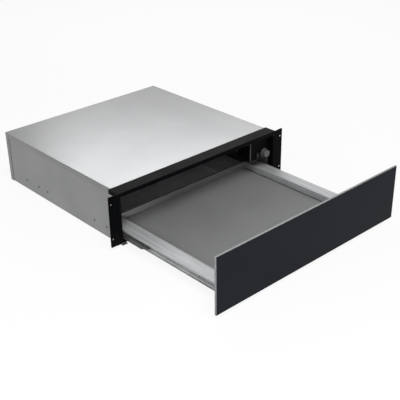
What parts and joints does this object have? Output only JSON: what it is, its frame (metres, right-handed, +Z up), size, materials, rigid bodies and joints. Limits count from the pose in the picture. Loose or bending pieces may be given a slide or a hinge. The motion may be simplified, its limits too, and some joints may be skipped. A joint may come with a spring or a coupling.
{
  "type": "warming drawer",
  "caption": "Built-in warming drawer: sheet-metal housing with a black screw frame, telescopic tray with a mat and a plain dark front, knob and rocker inside, fan heater at the rear.",
  "frame": {"origin": "middle of the footprint with the drawer pulled out, on the surface that the housing stands on", "axes": "X to the right seen from the front, Y to the back, Z up"},
  "size_m": [0.595, 0.86, 0.148],
  "materials": {
    "housing_sheet": "zinc-coated sheet, matt",
    "frame_black": "black powder coat",
    "element_sheath": "dull heat-darkened steel",
    "clip_steel": "plain steel",
    "stator_steel": "varnished laminations",
    "fan_aluminium": "mill finish",
    "pod_plastic": "black heat-resistant moulding",
    "thermostat_metal": "zinc-plated",
    "knob_plastic": "satin grey",
    "rocker_plastic": "satin dark grey",
    "latch_plastic": "dark moulding",
    "plunger_plastic": "natural white moulding",
    "runner_black": "black-coated sheet",
    "runner_zinc": "zinc-plated steel",
    "cage_steel": "plain steel",
    "rivet_dark": "dark",
    "tray_sheet": "satin sheet",
    "mat_rubber": "grey non-slip mat with a fine texture",
    "front_pane": "opaque dark glass, satin",
    "carrier_metal": "satin",
    "bracket_black": "black",
    "bumper_rubber": "soft black"
  },
  "bodies": {
    "housing": {"left_side_panel": "housing_sheet", "right_side_panel": "housing_sheet", "base_pan": "housing_sheet", "rear_panel": "housing_sheet", "top_cover": "housing_sheet", "rear_baffle": "housing_sheet", "motor_bracket": "housing_sheet", "top_front_rail": "frame_black", "left_mounting_flange": "frame_black", "right_mounting_flange": "frame_black", "bottom_front_rail": "frame_black", "heating_element": "element_sheath", "element_clips": "clip_steel", "thermal_cutout": "clip_steel", "fan_stator": "stator_steel", "control_pod": "pod_plastic", "switch_body": "pod_plastic", "thermostat_body": "thermostat_metal", "latch_body": "latch_plastic", "door_switch_body": "latch_plastic", "cable_gland": "latch_plastic", "terminal_block": "latch_plastic", "left_cabinet_runner": "runner_black", "right_cabinet_runner": "runner_black", "runner_rivets": "rivet_dark"},
    "drawer": {"drawer_tray": "tray_sheet", "non_slip_mat": "mat_rubber", "front_glass": "front_pane", "front_carrier": "carrier_metal", "left_panel_bracket": "bracket_black", "right_panel_bracket": "bracket_black", "latch_striker": "clip_steel", "panel_bumpers": "bumper_rubber", "left_drawer_runner": "runner_zinc", "right_drawer_runner": "runner_zinc", "left_runner_angle": "runner_zinc", "right_runner_angle": "runner_zinc"},
    "left_middle": {"left_middle_runner": "runner_black"},
    "right_middle": {"right_middle_runner": "runner_black"},
    "left_outer_balls": {"left_outer_cage": "cage_steel"},
    "right_outer_balls": {"right_outer_cage": "cage_steel"},
    "left_inner_balls": {"left_inner_cage": "cage_steel"},
    "right_inner_balls": {"right_inner_cage": "cage_steel"},
    "knob": {"control_knob": "knob_plastic", "thermostat_shaft": "clip_steel"},
    "rocker": {"power_rocker": "rocker_plastic"},
    "fan": {"fan_impeller": "fan_aluminium", "motor_shaft": "clip_steel"},
    "latch": {"latch_plunger": "plunger_plastic"},
    "door_switch": {"door_switch_plunger": "plunger_plastic"}
  },
  "joints": [
    {"name": "drawer_slide", "type": "slide", "parent": "housing", "child": "drawer", "axis": [0, 1, 0], "range_m": [0, 0.344]},
    {"name": "left_middle_slide", "type": "slide", "parent": "housing", "child": "left_middle", "axis": [0, 1, 0], "range_m": [0, 0.172]},
    {"name": "left_outer_balls_slide", "type": "slide", "parent": "housing", "child": "left_outer_balls", "axis": [0, 1, 0], "range_m": [0, 0.086]},
    {"name": "left_inner_balls_slide", "type": "slide", "parent": "housing", "child": "left_inner_balls", "axis": [0, 1, 0], "range_m": [0, 0.258]},
    {"name": "right_middle_slide", "type": "slide", "parent": "housing", "child": "right_middle", "axis": [0, 1, 0], "range_m": [0, 0.172]},
    {"name": "right_outer_balls_slide", "type": "slide", "parent": "housing", "child": "right_outer_balls", "axis": [0, 1, 0], "range_m": [0, 0.086]},
    {"name": "right_inner_balls_slide", "type": "slide", "parent": "housing", "child": "right_inner_balls", "axis": [0, 1, 0], "range_m": [0, 0.258]},
    {"name": "knob_turn", "type": "hinge", "parent": "housing", "child": "knob", "pos_m": [0.236, -0.06, 0.08], "axis": [0, 1, 0], "range_deg": [0, 270]},
    {"name": "rocker_tip", "type": "hinge", "parent": "housing", "child": "rocker", "pos_m": [0.212, -0.0495, 0.079], "axis": [1, 0, 0], "range_deg": [0, 12]},
    {"name": "fan_spin", "type": "hinge", "parent": "housing", "child": "fan", "pos_m": [0, 0.38, 0.073], "axis": [0, 1, 0], "continuous": true},
    {"name": "latch_press", "type": "slide", "parent": "housing", "child": "latch", "axis": [0, 1, 0], "range_m": [0, 0.008], "stiffness_N_per_m": 250, "springref_m": -0.006},
    {"name": "door_switch_press", "type": "slide", "parent": "housing", "child": "door_switch", "axis": [0, 1, 0], "range_m": [0, 0.003], "stiffness_N_per_m": 250, "springref_m": -0.003}
  ],
  "couplings": [
    {"joint": "left_middle_slide", "follows": "drawer_slide", "ratio": 0.5},
    {"joint": "left_outer_balls_slide", "follows": "drawer_slide", "ratio": 0.25},
    {"joint": "left_inner_balls_slide", "follows": "drawer_slide", "ratio": 0.75},
    {"joint": "right_middle_slide", "follows": "drawer_slide", "ratio": 0.5},
    {"joint": "right_outer_balls_slide", "follows": "drawer_slide", "ratio": 0.25},
    {"joint": "right_inner_balls_slide", "follows": "drawer_slide", "ratio": 0.75}
  ]
}
